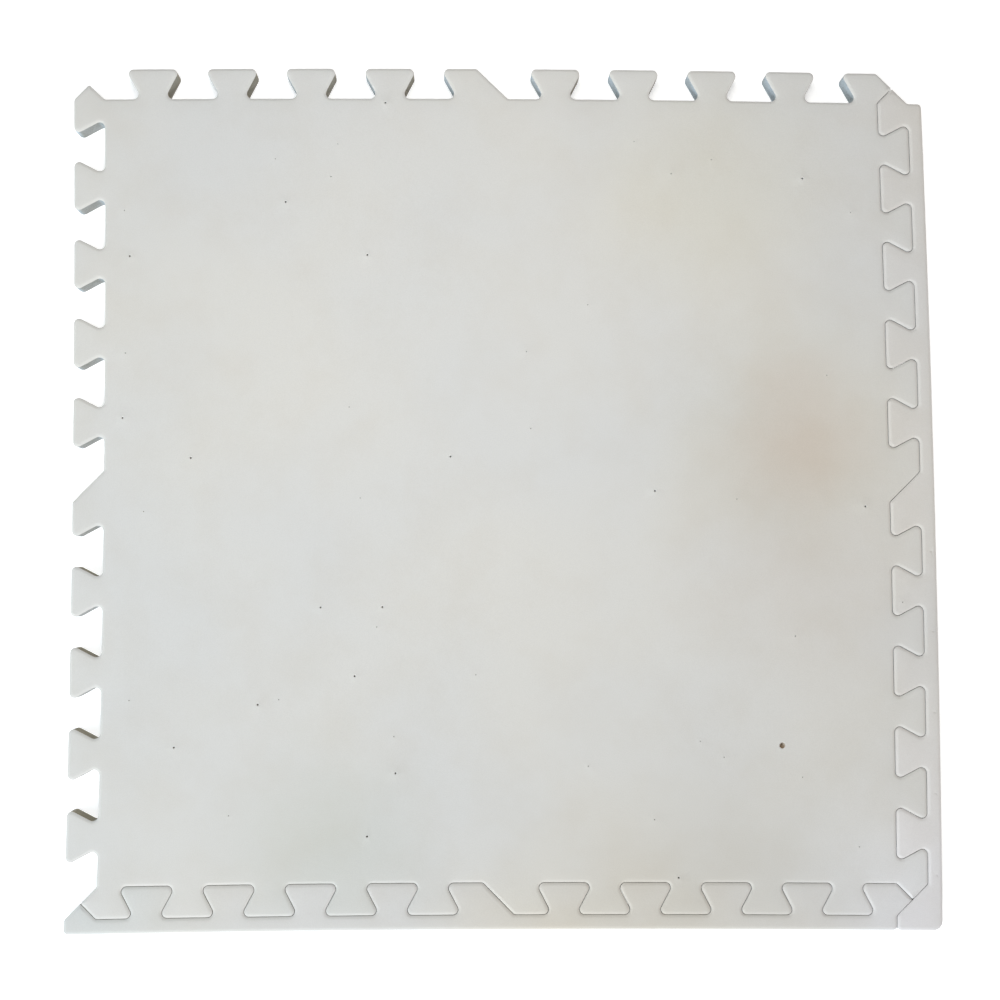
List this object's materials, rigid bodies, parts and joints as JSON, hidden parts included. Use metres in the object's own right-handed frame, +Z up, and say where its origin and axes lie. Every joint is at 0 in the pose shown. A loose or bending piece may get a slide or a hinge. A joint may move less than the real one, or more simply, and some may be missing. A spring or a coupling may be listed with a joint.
{
  "type": "interlocking blocking mats",
  "caption": "Square foam blocking mat with dovetail teeth that interlock along every side, with a straight and a corner border strip fitted along two sides.",
  "frame": {"origin": "centre of the tile's underside, on the surface that the mats lie on", "axes": "+Z up through the mats' thickness, +Y towards the open back side, -Y towards the straight border, +X towards the corner border, -X towards the open left side"},
  "size_m": [0.6328, 0.6328, 0.012],
  "materials": {
    "mat_foam": "matte",
    "straight_border_foam": "matte",
    "corner_border_foam": "matte"
  },
  "bodies": {
    "mat_tile": {"mat_tile": "mat_foam"},
    "straight_border": {"straight_border": "straight_border_foam"},
    "corner_border": {"corner_border": "corner_border_foam"}
  },
  "joints": [
    {"name": "straight_border_lift", "type": "slide", "parent": "mat_tile", "child": "straight_border", "axis": [0, 0, 1], "range_m": [0, 0.03]},
    {"name": "corner_border_lift", "type": "slide", "parent": "mat_tile", "child": "corner_border", "axis": [0, 0, 1], "range_m": [0, 0.03]}
  ]
}
